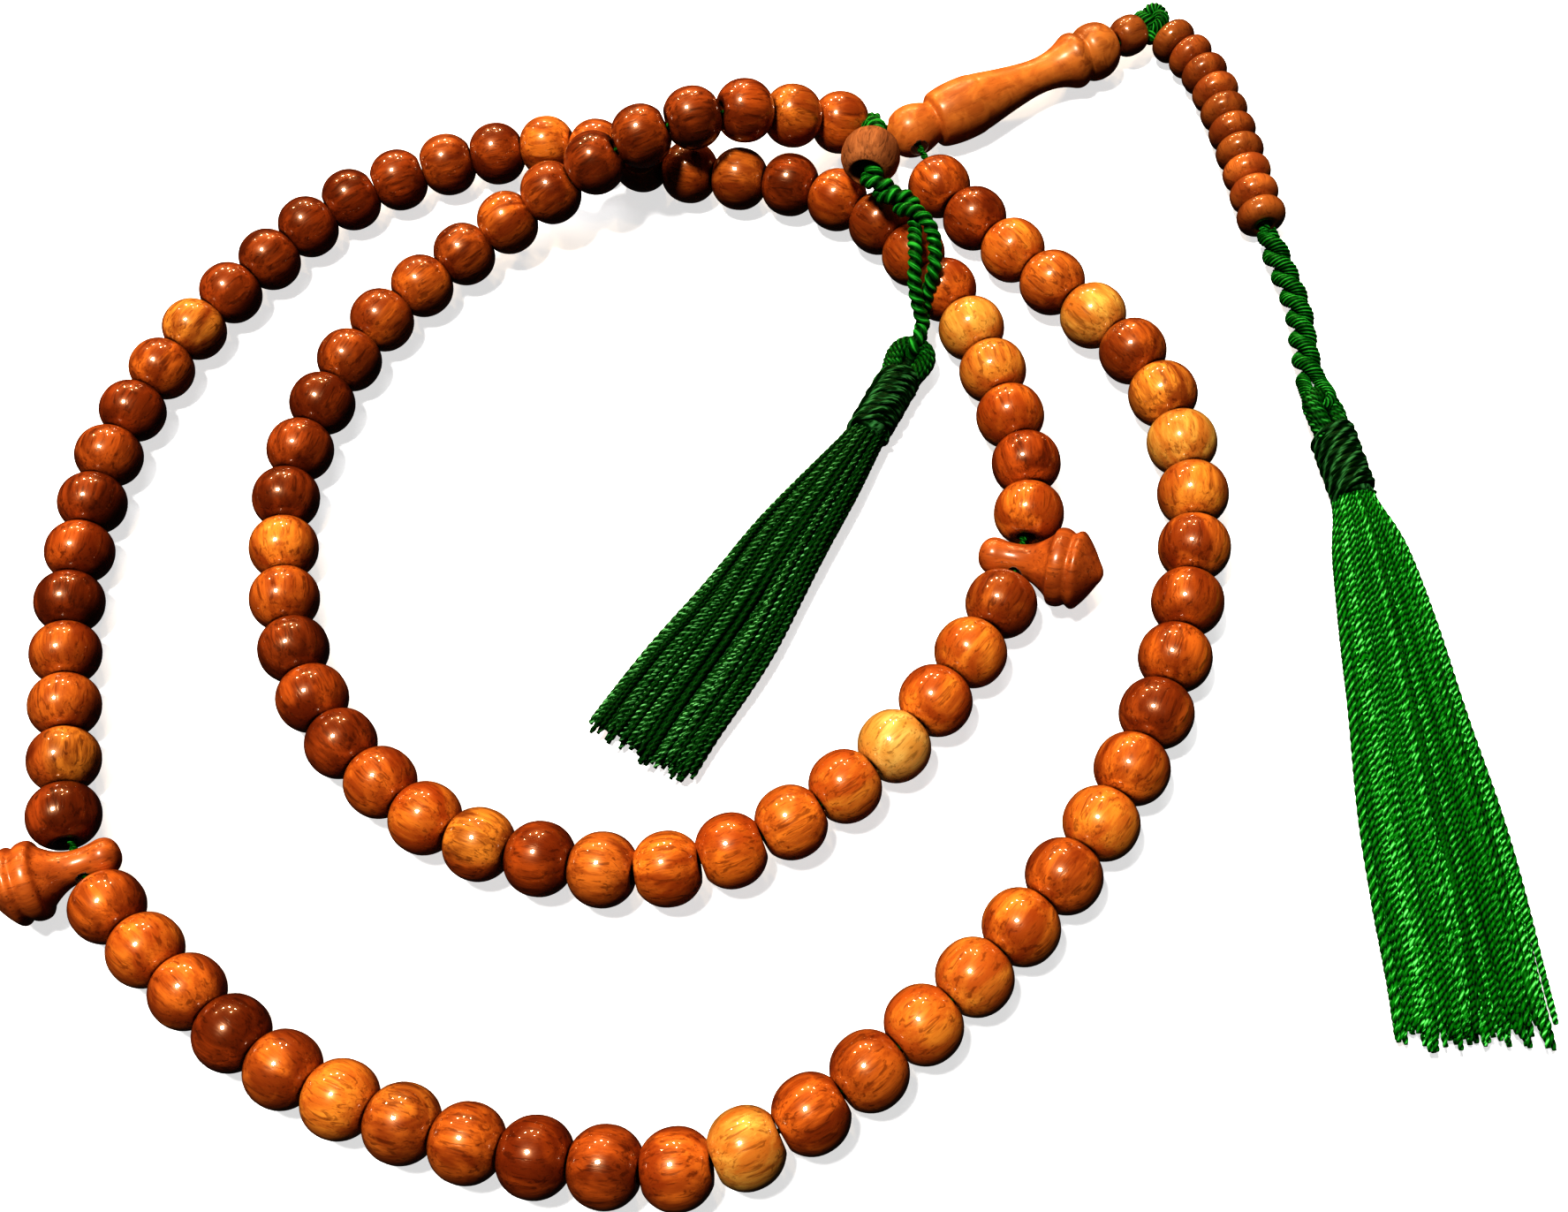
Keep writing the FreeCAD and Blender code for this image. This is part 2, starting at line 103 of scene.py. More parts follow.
camera = bpy.data.objects.new("camera", bpy.data.cameras.new("camera"))
camera.data.lens = 37.97
camera.data.sensor_width = 36
camera.data.clip_start = 0.01
camera.data.clip_end = 20
camera.location = CAMERA_AT
camera.rotation_euler = (
    Matrix.Rotation(CAMERA_PITCH, 3, "X") @ Matrix.Rotation(CAMERA_ROLL, 3, "Z")).to_euler()
bpy.context.collection.objects.link(camera)
bpy.context.scene.camera = camera

area_light("key", KEY_AT, 0.16, 8.2, DAYLIGHT)
for number, (x, y, z, size, power) in enumerate(CEILING_LAMPS):
    area_light(f"ceiling_{number}", (x, y, z), size, power, LAMPLIGHT)
soft_box = area_light("soft_box", (0.08, 0.50, 0.85), 0.6, 2.2)
soft_box.visible_glossy = False

world = bpy.data.worlds.new("studio")
bpy.context.scene.world = world
bpy.context.scene.view_settings.view_transform = "Standard"
bpy.context.scene.view_settings.look = "High Contrast"
world.use_nodes = True
background = world.node_tree.nodes["Background"]
background.inputs["Color"].default_value = (1.0, 1.0, 1.0, 1)
background.inputs["Strength"].default_value = 0.015


# ---------------------------------------------------------------------------------------------------------
# Materials
# ---------------------------------------------------------------------------------------------------------

BUMP_DEPTH = 0.04 * MM
BURNT = (0.012, 0.002, 0.0005, 1)
CHIPPED = (0.02, 0.004, 0.001, 1)
PITTED = (0.03, 0.006, 0.002, 1)
HONEY = (0.80, 0.28, 0.050, 1)


class Graph:
    """A short way to write a node tree."""

    def __init__(self, name):
        self.material = bpy.data.materials.new(name)
        self.material.use_nodes = True
        self.tree = self.material.node_tree
        self.shader = self.tree.nodes["Principled BSDF"]

    def node(self, kind, inputs=None, **settings):
        node = self.tree.nodes.new(kind)
        for key, value in settings.items():
            setattr(node, key, value)
        for key, value in (inputs or {}).items():
            self.feed(node.inputs[key], value)
        return node

    def feed(self, socket, value):
        if isinstance(value, bpy.types.NodeSocket):
            self.tree.links.new(value, socket)
        elif isinstance(value, bpy.types.Node):
            self.tree.links.new(value.outputs[0], socket)
        else:
            socket.default_value = value

    def ramp(self, value, *stops):
        node = self.node("ShaderNodeValToRGB", {"Fac": value})
        elements = node.color_ramp.elements
        while len(elements) < len(stops):
            elements.new(0.5)
        for element, (place, shade) in zip(elements, stops):
            element.position = place
            element.color = (shade, shade, shade, 1) if isinstance(shade, (int, float)) else (*shade, 1)
        return node.outputs["Color"]

    def mix(self, factor, first, second):
        node = self.node("ShaderNodeMix", data_type="RGBA")
        self.feed(node.inputs[0], factor)
        self.feed(node.inputs[6], first)
        self.feed(node.inputs[7], second)
        return node.outputs[2]

    def maths(self, operation, *values):
        node = self.node("ShaderNodeMath", operation=operation)
        for socket, value in zip(node.inputs, values):
            self.feed(socket, value)
        return node.outputs[0]

    def attribute(self, name, output="Color"):
        return self.node("ShaderNodeAttribute", attribute_name=name).outputs[output]

    def noise(self, place, scale, detail=3.0, rough=0.55, distortion=0.0):
        return self.node("ShaderNodeTexNoise", {
            "Vector": place, "Scale": scale, "Detail": detail, "Roughness": rough,
            "Distortion": distortion}).outputs["Fac"]

    def bump(self, height, strength):
        node = self.node("ShaderNodeBump", {"Height": height, "Strength": strength, "Distance": BUMP_DEPTH})
        return node.outputs["Normal"]

    def surface(self, **inputs):
        for key, value in inputs.items():
            self.feed(self.shader.inputs[key.replace("_", " ")], value)
        return self.material


def turned_wood(name, rough, coat, coat_rough, patch=0.85, streak=0.7, blotch=0.0, relief=0.3, pits=0.0):
    """Polished or plain wood whose two tones are on the mesh, with grain along the piece's own Z.

    patch, streak, blotch and pits say how strong each kind of marking is.
    """
    graph = Graph(name)
    object_place = graph.node("ShaderNodeTexCoord").outputs["Object"]
    shift = graph.node("ShaderNodeVectorMath", {0: object_place, 1: graph.attribute("seed")},
                       operation="ADD").outputs[0]
    long_grain = graph.node("ShaderNodeMapping", {"Vector": shift, "Scale": (1, 1, 0.12)}).outputs[0]
    wide_grain = graph.node("ShaderNodeMapping", {"Vector": shift, "Scale": (1, 1, 0.4)}).outputs[0]
    patches = graph.ramp(graph.noise(wide_grain, 230, 3, 0.55, 0.8), (0.40, 0.0), (0.60, 1.0))
    streaks = graph.ramp(graph.noise(long_grain, 850, 4, 0.7, 0.5), (0.43, 0.0), (0.59, 1.0))
    lines = graph.ramp(graph.noise(long_grain, 1900, 3, 0.6, 0.8), (0.54, 0.0), (0.64, 1.0))
    pores = graph.ramp(graph.noise(long_grain, 5200, 2, 0.5), (0.60, 0.0), (0.70, 1.0))
    light, dark = graph.attribute("tone_a"), graph.attribute("tone_b")
    deepest = graph.mix(0.7, dark, BURNT)
    base = graph.mix(graph.maths("MULTIPLY", patches, patch), light, dark)
    base = graph.mix(graph.maths("MULTIPLY", streaks, streak * 0.75), base, dark)
    base = graph.mix(graph.maths("MULTIPLY", lines, streak * 0.8), base, deepest)
    base = graph.mix(graph.maths("MULTIPLY", pores, streak * 0.5), base, deepest)
    # Where the mesh's mask is set, at the mouths and in the bore, the wood is darkened as painted shade, and
    # chipped and cracked as real wear.
    shade_and_wear = graph.attribute("shade_and_wear", "Fac")
    chips = graph.ramp(graph.noise(shift, 2600, 3, 0.7), (0.5, 0.0), (0.58, 1.0))
    base = graph.mix(graph.maths("MULTIPLY", shade_and_wear, 0.55), base, deepest)
    base = graph.mix(graph.maths("MULTIPLY", chips, graph.maths("MULTIPLY", shade_and_wear, 0.8)), base, CHIPPED)
    if blotch:
        cloud = graph.ramp(graph.noise(shift, 330, 4, 0.6, 0.8), (0.44, 0.0), (0.60, 1.0))
        base = graph.mix(graph.maths("MULTIPLY", cloud, blotch), base, HONEY)
    height = graph.maths("ADD", graph.maths("MULTIPLY", streaks, -0.5), graph.maths("MULTIPLY", lines, -0.5))
    if pits:
        dots = graph.node("ShaderNodeTexVoronoi", {"Vector": shift, "Scale": 900}).outputs["Distance"]
        holes = graph.ramp(dots, (0.05, 1.0), (0.16, 0.0))
        base = graph.mix(graph.maths("MULTIPLY", holes, pits), base, PITTED)
        height = graph.maths("SUBTRACT", height, holes)
    cracks = graph.maths("MULTIPLY", chips, graph.maths("MULTIPLY", shade_and_wear, -0.8))
    height = graph.maths("ADD", height, cracks)
    roughness = graph.ramp(graph.noise(shift, 700, 3, 0.6), (0.3, rough * 0.8), (0.7, rough * 1.25))
    graph.surface(Base_Color=base, Roughness=roughness, Normal=graph.bump(height, relief))
    graph.shader.inputs["Specular Tint"].default_value = (1.0, 0.62, 0.36, 1)
    graph.shader.inputs["Coat Weight"].default_value = coat
    graph.shader.inputs["Coat Roughness"].default_value = coat_rough
    return graph.material


def thread(name, dark, middle, light, painted_highlight):
    """Shiny twisted thread.  The map named ply runs round the strand and along it, leaning with its fibres.

    The colours paint light and shade: the sides of the plies darker, the grooves between them nearly black
    as painted shade, and the light colour as painted highlights on the tops of the plies, whose brightness
    the last argument gives.
    """
    graph = Graph(name)
    ply = graph.node("ShaderNodeUVMap", uv_map="ply").outputs[0]
    grains = graph.node("ShaderNodeMapping", {"Vector": ply, "Scale": (2.2, 0.6, 1)}).outputs[0]
    fibres = graph.node("ShaderNodeMapping", {"Vector": ply, "Scale": (9.0, 0.35, 1)}).outputs[0]
    grain = graph.ramp(graph.noise(grains, 1.0, 2, 0.5), (0.42, 0.0), (0.56, 1.0))
    fibre = graph.ramp(graph.noise(fibres, 1.0, 2, 0.6), (0.32, 0.0), (0.68, 1.0))
    crest = graph.attribute("crest", "Fac")
    # Painted shade round each ply by crest, painted highlights in flecks on its top, and painted shade
    # nearly black in the grooves.
    base = graph.mix(graph.ramp(crest, (0.15, 0.0), (0.85, 1.0)), (*dark, 1), (*middle, 1))
    base = graph.mix(graph.maths("MULTIPLY", fibre, 0.5), base, (*dark, 1))
    highlight_tops = graph.maths("MULTIPLY", graph.ramp(crest, (0.72, 0.0), (0.94, 1.0)), grain)
    base = graph.mix(graph.maths("MULTIPLY", highlight_tops, painted_highlight), base, (*light, 1))
    deepest = (*[shade * 0.15 for shade in dark], 1)
    base = graph.mix(graph.ramp(crest, (0.0, 0.95), (0.45, 0.0)), base, deepest)
    height = graph.maths("ADD", fibre, graph.maths("MULTIPLY", grain, 0.6))
    roughness = graph.ramp(fibre, (0.0, 0.546), (1.0, 0.336))
    graph.surface(Base_Color=base, Roughness=roughness, Normal=graph.bump(height, 0.5))
    graph.shader.inputs["Specular IOR Level"].default_value = 0.22
    graph.shader.inputs["Specular Tint"].default_value = (0.25, 1.0, 0.28, 1)
    graph.shader.inputs["Sheen Weight"].default_value = 0.06
    graph.shader.inputs["Sheen Roughness"].default_value = 0.4
    graph.shader.inputs["Sheen Tint"].default_value = (0.1, 1.0, 0.15, 1)
    return graph.material


BEAD_WOOD = turned_wood("bead_wood", 0.3, 0.9, 0.045)
COUNTER_WOOD = turned_wood("counter_wood", 0.32, 0.9, 0.06, streak=0.5)
LEADER_WOOD = turned_wood("leader_wood", 0.42, 0.3, 0.25, patch=0.6, streak=0.3, blotch=0.5, relief=0.2)
SEPARATOR_WOOD = turned_wood("separator_wood", 0.42, 0.45, 0.2, patch=0.75, streak=0.55, pits=0.6)
RAW_WOOD = turned_wood("raw_wood", 0.75, 0.0, 0.5, patch=0.7, streak=0.8, relief=0.8)
# The third colour of each thread is its painted highlight.
CORD_THREAD = thread("cord_thread", (0.0, 0.016, 0.0), (0.001, 0.09, 0.003), (0.045, 0.44, 0.05), 0.85)
SHORT_THREAD = thread(
    "short_tassel_thread", (0.0, 0.012, 0.0), (0.001, 0.056, 0.002), (0.22, 0.62, 0.22), 0.95)
LONG_THREAD = thread(
    "long_tassel_thread", (0.0, 0.010, 0.0), (0.001, 0.235, 0.003), (0.20, 1.0, 0.22), 1.0)
EYE_THREAD = thread(
    "eye_thread", (0.0, 0.016, 0.0), (0.001, 0.085, 0.002), (0.07, 0.45, 0.08), 0.9)
BINDING_THREAD = thread(
    "binding_thread", (0.0, 0.003, 0.0), (0.001, 0.024, 0.001), (0.06, 0.22, 0.07), 0.9)

floor_graph = Graph("floor")
floor_place = floor_graph.node("ShaderNodeTexCoord").outputs["Object"]
floor_tone = floor_graph.ramp(floor_graph.noise(floor_place, 40, 3), (0.3, (0.93, 0.93, 0.93)),
                              (0.7, (0.95, 0.95, 0.95)))
floor_graph.surface(Base_Color=floor_tone, Roughness=0.9)
floor_graph.shader.inputs["Emission Color"].default_value = (1, 1, 1, 1)
floor_graph.shader.inputs["Emission Strength"].default_value = 0.5
floor_mesh = bpy.data.meshes.new("floor")
floor_mesh.from_pydata([(-6, -6, 0), (6, -6, 0), (6, 6, 0), (-6, 6, 0)], [], [(0, 1, 2, 3)])
floor_mesh.materials.append(floor_graph.material)
floor = bpy.data.objects.new("floor", floor_mesh)
bpy.context.collection.objects.link(floor)
floor.location.z = cad_low.z - 0.0001
floor.visible_glossy = False
floor.visible_diffuse = False


# ---------------------------------------------------------------------------------------------------------
# Geometry helpers
# ---------------------------------------------------------------------------------------------------------

def unit(vector):
    return vector / np.linalg.norm(vector)


def solid_frame(points, triangles):
    """The centroid and the principal directions of a closed solid, thinnest direction first."""
    origin = points.mean(axis=0)
    a, b, c = (points[triangles[:, corner]] - origin for corner in range(3))
    volume = np.einsum("ij,ij->i", a, np.cross(b, c)) / 6
    total = a + b + c
    centroid = (volume[:, None] * total).sum(axis=0) / 4 / volume.sum()
    spread = sum(np.einsum("i,ij,ik->jk", volume, part, part) for part in (total, a, b, c)) / 20
    spread = spread / volume.sum() - np.outer(centroid, centroid)
    directions = np.linalg.eigh(spread)[1].T
    return origin + centroid, directions


def solids_of(node):
    """The points and triangles of each separate solid of a CAD node."""
    mesh = frame["nodes"][node].data
    mesh.calc_loop_triangles()
    points = np.array([vertex.co[:] for vertex in mesh.vertices])
    triangles = np.array([triangle.vertices[:] for triangle in mesh.loop_triangles])
    keys = np.unique(np.round(points, 7), axis=0, return_inverse=True)[1].ravel()
    group = np.arange(keys.max() + 1)
    welded = keys[triangles]
    while True:
        lowest = group[welded].min(axis=1)
        before = group.copy()
        for corner in range(3):
            np.minimum.at(group, welded[:, corner], lowest)
        group = group[group]
        if (group == before).all():
            break
    owner = group[welded[:, 0]]
    return [(points, triangles[owner == name]) for name in np.unique(owner)]


def make_object(name, points, faces, material, matrix=None):
    mesh = bpy.data.meshes.new(name)
    mesh.from_pydata([tuple(point) for point in points], [], [tuple(face) for face in faces])
    mesh.materials.append(material)
    mesh.polygons.foreach_set("use_smooth", [True] * len(mesh.polygons))
    obj = bpy.data.objects.new(name, mesh)
    bpy.context.collection.objects.link(obj)
    if matrix is not None:
        obj.matrix_world = matrix
    return obj


def standing(centre, axis, turn=0.0):
    """The matrix that stands a piece's own Z along axis, with its origin at centre."""
    rotation = Vector(axis).to_track_quat("Z", "X").to_matrix().to_4x4()
    return Matrix.Translation(Vector(centre)) @ rotation @ Matrix.Rotation(turn, 4, "Z")


def lathe(name, profile, sides, material, matrix, tones, seed, shade_and_wear=None, wobble=0.0):
    """A turned piece.  profile holds (height, radius) in millimetres, from one end round to the other."""
    draw = random.Random(seed)
    lobes = [(draw.uniform(0, math.tau), draw.uniform(0, math.tau)) for _ in range(3)]
    rings = len(profile)
    points, light, dark, shade_and_wear_values = [], [], [], []
    for height, radius in profile:
        for side in range(sides):
            angle = math.tau * side / sides
            bulge = 1 + wobble * (math.sin(angle + lobes[0][0] + height * 0.3)
                                  + math.sin(2 * angle + lobes[1][0]) * 0.6) * min(1, radius / 2)
            points.append((radius * bulge * math.cos(angle) * MM, radius * bulge * math.sin(angle) * MM,
                           height * MM))
            first, second = tones(angle, height)
            light.append(first)
            dark.append(second)
            shade_and_wear_values.append(shade_and_wear(height, radius) if shade_and_wear else 0.0)
    faces = []
    for ring in range(rings - 1):
        for side in range(sides):
            here, beside = ring * sides + side, ring * sides + (side + 1) % sides
            faces.append((here, beside, beside + sides, here + sides))
    if profile[0] == profile[-1]:
        keep = (rings - 1) * sides
        points, light, dark, shade_and_wear_values = points[:keep], light[:keep], dark[:keep], shade_and_wear_values[:keep]
        faces = [tuple(corner % keep for corner in face) for face in faces]
    obj = make_object(name, points, faces, material, matrix)
    offset = tuple(draw.uniform(-1, 1) for _ in range(3))
    for label, kind, key, values in (
            ("tone_a", "FLOAT_COLOR", "color", light), ("tone_b", "FLOAT_COLOR", "color", dark),
            ("seed", "FLOAT_VECTOR", "vector", [offset] * len(points)), ("shade_and_wear", "FLOAT", "value", shade_and_wear_values)):
        layer = obj.data.attributes.new(label, kind, "POINT")
        flat = [part for value in values for part in ((*value, 1) if kind == "FLOAT_COLOR" else
                                                      value if kind == "FLOAT_VECTOR" else (value,))]
        layer.data.foreach_set(key, flat)
    if min(radius for _, radius in profile) == 0:  # the rings on the axis become single points
        shell = bmesh.new()
        shell.from_mesh(obj.data)
        bmesh.ops.remove_doubles(shell, verts=shell.verts, dist=1e-7)
        shell.to_mesh(obj.data)
        shell.free()
    return obj


def smooth_line(control, spacing):
    """Evenly spaced points of the NURBS spline with these control points."""
    curve = bpy.data.curves.new("route", "CURVE")
    curve.dimensions = "3D"
    curve.resolution_u = 24
    spline = curve.splines.new("NURBS")
    spline.points.add(len(control) - 1)
    for point, place in zip(spline.points, control):
        point.co = (*place, 1)
    spline.order_u = 3
    spline.use_endpoint_u = True
    holder = bpy.data.objects.new("route", curve)
    bpy.context.collection.objects.link(holder)
    mesh = bpy.data.meshes.new_from_object(holder.evaluated_get(bpy.context.evaluated_depsgraph_get()))
    line = np.array([vertex.co[:] for vertex in mesh.vertices])
    bpy.data.objects.remove(holder)
    bpy.data.curves.remove(curve)
    bpy.data.meshes.remove(mesh)
    return evenly(line, spacing)


def evenly(line, spacing):
    """The line with points at even steps of about this spacing."""
    steps = np.linalg.norm(np.diff(line, axis=0), axis=1)
    along = np.concatenate([[0], np.cumsum(steps)])
    count = max(2, int(round(along[-1] / spacing)) + 1)
    wanted = np.linspace(0, along[-1], count)
    return np.stack([np.interp(wanted, along, line[:, axis]) for axis in range(3)], axis=1)


def carried_frames(line):
    """Directions along a line and two more at right angles that turn as little as possible."""
    ahead = np.gradient(line, axis=0)
    ahead /= np.linalg.norm(ahead, axis=1)[:, None]
    side = np.cross(ahead[0], UP)
    if np.linalg.norm(side) < 1e-6:
        side = np.cross(ahead[0], [1.0, 0, 0])
    sides = []
    for direction in ahead:
        side = unit(side - direction * np.dot(side, direction))
        sides.append(side)
    sides = np.array(sides)
    return ahead, sides, np.cross(sides, ahead)


def coiled_round(line, radius, turns_per_metre, phase):
    """A line that winds round another one."""
    ahead, across, over = carried_frames(line)
    steps = np.concatenate([[0], np.cumsum(np.linalg.norm(np.diff(line, axis=0), axis=1))])
    angle = phase + math.tau * turns_per_metre * steps
    return line + radius * (np.cos(angle)[:, None] * across + np.sin(angle)[:, None] * over)


class Strands:
    """Collects twisted strands into one mesh, with the map and the crest value that thread reads."""

    def __init__(self):
        self.points, self.faces, self.ply, self.crest, self.caps = [], [], [], [], []
        self.count = 0

    LEAN = 0.5  # how far the fibres lean round the strand for each step along it

    def add(self, line, radius, lobes=3, depth=0.22, twist=400.0, per_lobe=5, taper=1.0, phase=0.0,
            shade=1.0):
        """A strand along line.  lobes is its number of plies, depth the depth of the grooves between them as
        a share of the radius, twist their turns per metre, and a shade below 1 paints it darker and takes
        away its painted highlights."""
        sides, rings = lobes * per_lobe, len(line)
        ahead, across, over = carried_frames(line)
        steps = np.concatenate([[0], np.cumsum(np.linalg.norm(np.diff(line, axis=0), axis=1))])
        angle = math.tau * np.arange(sides) / sides
        crest = np.abs(np.cos(lobes / 2 * angle))
        reach = (radius * np.broadcast_to(taper, rings))[:, None] * (1 - depth + depth * crest)[None, :]
        turned = angle[None, :] + (phase + math.tau * twist * steps)[:, None]
        points = (line[:, None, :] + (reach * np.cos(turned))[..., None] * across[:, None, :]
                  + (reach * np.sin(turned))[..., None] * over[:, None, :])
        base = self.count
        ring, side = np.meshgrid(np.arange(rings - 1), np.arange(sides), indexing="ij")
        beside = (side + 1) % sides
        faces = base + np.stack([ring * sides + side, ring * sides + beside,
                                 (ring + 1) * sides + beside, (ring + 1) * sides + side], axis=-1)
        round_it = math.tau * radius / MM / sides
        low, high = steps[ring] / MM, steps[ring + 1] / MM
        left, right = side * round_it + phase * 3, (side + 1) * round_it + phase * 3
        corners = ((left, low), (right, low), (right, high), (left, high))
        ply = np.stack([np.stack([around + along * self.LEAN, along], -1) for around, along in corners],
                       axis=-2)
        self.points.append(points.reshape(-1, 3))
        self.faces.append(faces.reshape(-1, 4))
        self.ply.append(ply.reshape(-1, 2))
        self.crest.append(np.tile(crest * shade, rings))
        first = base + np.arange(sides)
        self.caps += [tuple(int(corner) for corner in first[::-1]),
                      tuple(int(corner) for corner in first + (rings - 1) * sides)]
        self.count += rings * sides
        return self

    def piece(self, name, material):
        points, faces = np.concatenate(self.points), np.concatenate(self.faces)
        obj = make_object(name, points.tolist(), faces.tolist() + self.caps, material)
        ply = np.concatenate(self.ply)
        spare = np.zeros((sum(len(cap) for cap in self.caps), 2))
        layer = obj.data.uv_layers.new(name="ply")
        layer.data.foreach_set("uv", np.concatenate([ply, spare]).ravel())
        crest = obj.data.attributes.new("crest", "FLOAT", "POINT")
        crest.data.foreach_set("value", np.concatenate(self.crest))
        return obj


def place(obj, body, slot_name, node):
    """Puts a piece on its body and lets it stand for its CAD node, which it hides.  slot_name is not used.
    """
    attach(obj, body)
    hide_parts(node)


# ---------------------------------------------------------------------------------------------------------
# The 99 counting beads
# ---------------------------------------------------------------------------------------------------------

TONES = {  # light and dark colour of each kind of bead
    "palest": ((0.92, 0.60, 0.18), (0.76, 0.34, 0.06)),
    "golden": ((0.90, 0.46, 0.09), (0.54, 0.15, 0.018)),
    "light": ((0.86, 0.32, 0.045), (0.41, 0.085, 0.011)),
    "bright": ((0.80, 0.250, 0.032), (0.32, 0.056, 0.007)),
    "plain": ((0.67, 0.182, 0.024), (0.22, 0.036, 0.005)),
    "dim": ((0.50, 0.115, 0.016), (0.145, 0.022, 0.003)),
    "dark": ((0.36, 0.070, 0.010), (0.10, 0.016, 0.002)),
}
BEAD_KINDS = {
    "palest": (70,),
    "golden": (5, 8, 22, 62),
    "light": (3, 9, 15, 18, 19, 28, 63, 68, 71),
    "bright": (14, 17, 32, 52, 64, 66, 69, 72, 73, 74, 78, 84, 98),
    "dim": (2, 13, 24, 25, 35, 39, 41, 50, 51, 65, 76, 77, 81, 88, 91, 93, 95, 97),
    "dark": (30, 34, 38, 40, 42, 45, 46, 47, 48, 49, 54, 57, 80, 82, 85, 86, 87, 94, 96),
}
kind_of = {number: kind for kind, numbers in BEAD_KINDS.items() for number in numbers}
HALF_AND_HALF = (7, 27, 35, 44, 77)  # pale on one side


BORE = 0.95


def bored(outside, mouth):
    """A closed profile: over the outside, in at one mouth, through the bore and out at the other mouth."""
    profile = outside + mouth + [(-height, radius) for height, radius in reversed(mouth)]
    return profile + [profile[0]]


def bead_profile(half):
    """A counting bead's profile in millimetres.  half is half its length."""
    outside, steps = [], 22
    for step in range(steps + 1):
        height = half * math.sin(math.pi / 2 * (2 * step / steps - 1))
        outside.append((height, 4.0 * (1 - abs(height / (half + 0.46)) ** 2.15) ** (1 / 2.05)))
    shoulder = outside[-1][1]
    return bored(outside, [
        (half + 0.05, shoulder - 0.25), (half + 0.03, 1.35), (half - 0.08, 1.08), (half - 0.6, BORE)])


def bead_mouth_shade_and_wear(height, radius):
    """The mouths are painted darker, from 2.5 mm off the axis inwards: painted shade where the beads meet,
    with chips of real wear.
    """
    return max(0.0, min(1.0, 2.5 - radius))


def varied(colour, draw, amount):
    """A colour a little lighter or darker, and a little redder or yellower."""
    gain = 1 + draw.uniform(-amount, amount)
    warm = draw.uniform(-amount, amount) * 0.5
    return colour[0] * gain, colour[1] * gain * (1 + warm), colour[2] * gain * (1 + 2 * warm)


def make_bead(number, centre, axis, half):
    draw = random.Random(1000 + number)
    light, dark = (varied(tone, draw, 0.16) for tone in TONES[kind_of.get(number, "plain")])
    pale = varied(TONES["light"][0], draw, 0.1)
    edge = draw.uniform(0, math.tau)

    def tones(angle, height):
        if number in HALF_AND_HALF:
            share = min(1, max(0, 0.5 + 2.2 * math.cos(angle - edge)))
            return tuple(share * p + (1 - share) * q for p, q in zip(pale, light)), dark
        return light, dark

    size = draw.uniform(0.985, 1.0)
    matrix = standing(centre, axis, draw.uniform(0, math.tau)) @ Matrix.Diagonal((size, size, 1, 1))
    return lathe(f"bead_{number:02d}_wood", bead_profile(half), 44, BEAD_WOOD, matrix, tones,
                 2000 + number, bead_mouth_shade_and_wear, 0.004)


found_beads = []
for node in sorted(node for node in frame["nodes"] if node.startswith("bead")):
    for points, triangles in solids_of(node):
        centre, directions = solid_frame(points, triangles)
        found_beads.append((node, centre, directions[0]))
# The strand is walked from the first bead, always to the nearest one left.
order = [next(bead for bead in found_beads if bead[0] == "bead_01")]
left = [bead for bead in found_beads if bead is not order[0]]
while left:
    nearest = min(left, key=lambda bead: np.linalg.norm(bead[1] - order[-1][1]))
    order.append(nearest)
    left = [bead for bead in left if bead is not nearest]
if len(order) != 99:
    raise RuntimeError(f"found {len(order)} beads")
body_of_node = {node: body for body, nodes in frame["record"]["behaviour"]["bodies"].items()
                for node in nodes}
# A bead is as long as its place on the cord allows, within what a bead of this kind measures.
for number, (node, centre, axis) in enumerate(order, 1):
    gap = min(np.linalg.norm(centre - other[1]) for other in order if other[1] is not centre) / MM
    bead = make_bead(number, centre, axis, min(max(gap / 2 - 0.12, 3.25), 3.38))
    place(bead, body_of_node[node], "bead_wood", node)

# ---------------------------------------------------------------------------------------------------------
# Leader, separators, small beads
# ---------------------------------------------------------------------------------------------------------


def long_frame(node, towards=None):
    """The low end, the axis and the length of a turned CAD node."""
    points, triangles = solids_of(node)[0]
    centroid, directions = solid_frame(points, triangles)
    axis = directions[2]
    reach = (points - centroid) @ axis
    if towards is not None:
        flip = (towards - centroid) @ axis < 0
    else:
        flip = reach.max() > -reach.min()  # the centroid lies nearer to the thick end
    if flip:
        axis, reach = -axis, -reach
    return centroid + axis * reach.min(), axis, reach.max() - reach.min()


def drilled(obj, centre, direction, radius, depth):
    """Cuts a round hole from centre outwards along direction.  radius and depth are in millimetres."""
    bpy.context.view_layer.update()
    sides = 32
    angles = [math.tau * side / sides for side in range(sides)]
    drill_points = [(radius * MM * math.cos(angle), radius * MM * math.sin(angle), z)
                    for z in (0, depth * MM) for angle in angles]
    walls = [(side, (side + 1) % sides, sides + (side + 1) % sides, sides + side) for side in range(sides)]
    caps = [tuple(range(sides - 1, -1, -1)), tuple(range(sides, 2 * sides))]
    cutter = make_object("cutter", drill_points, walls + caps, obj.data.materials[0],
                         standing(centre, direction))
    bpy.context.view_layer.update()
    modifier = obj.modifiers.new("hole", "BOOLEAN")
    modifier.operation = "DIFFERENCE"
    modifier.object = cutter
    modifier.solver = "EXACT"
    mesh = bpy.data.meshes.new_from_object(obj.evaluated_get(bpy.context.evaluated_depsgraph_get()))
    obj.modifiers.clear()
    obj.data = mesh
    bpy.data.objects.remove(cutter)


def even_tone(light, dark):
    return lambda angle, height: (light, dark)


def box_middle(node):
    low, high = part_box(node)
    return (np.array(low) + np.array(high)) / 2


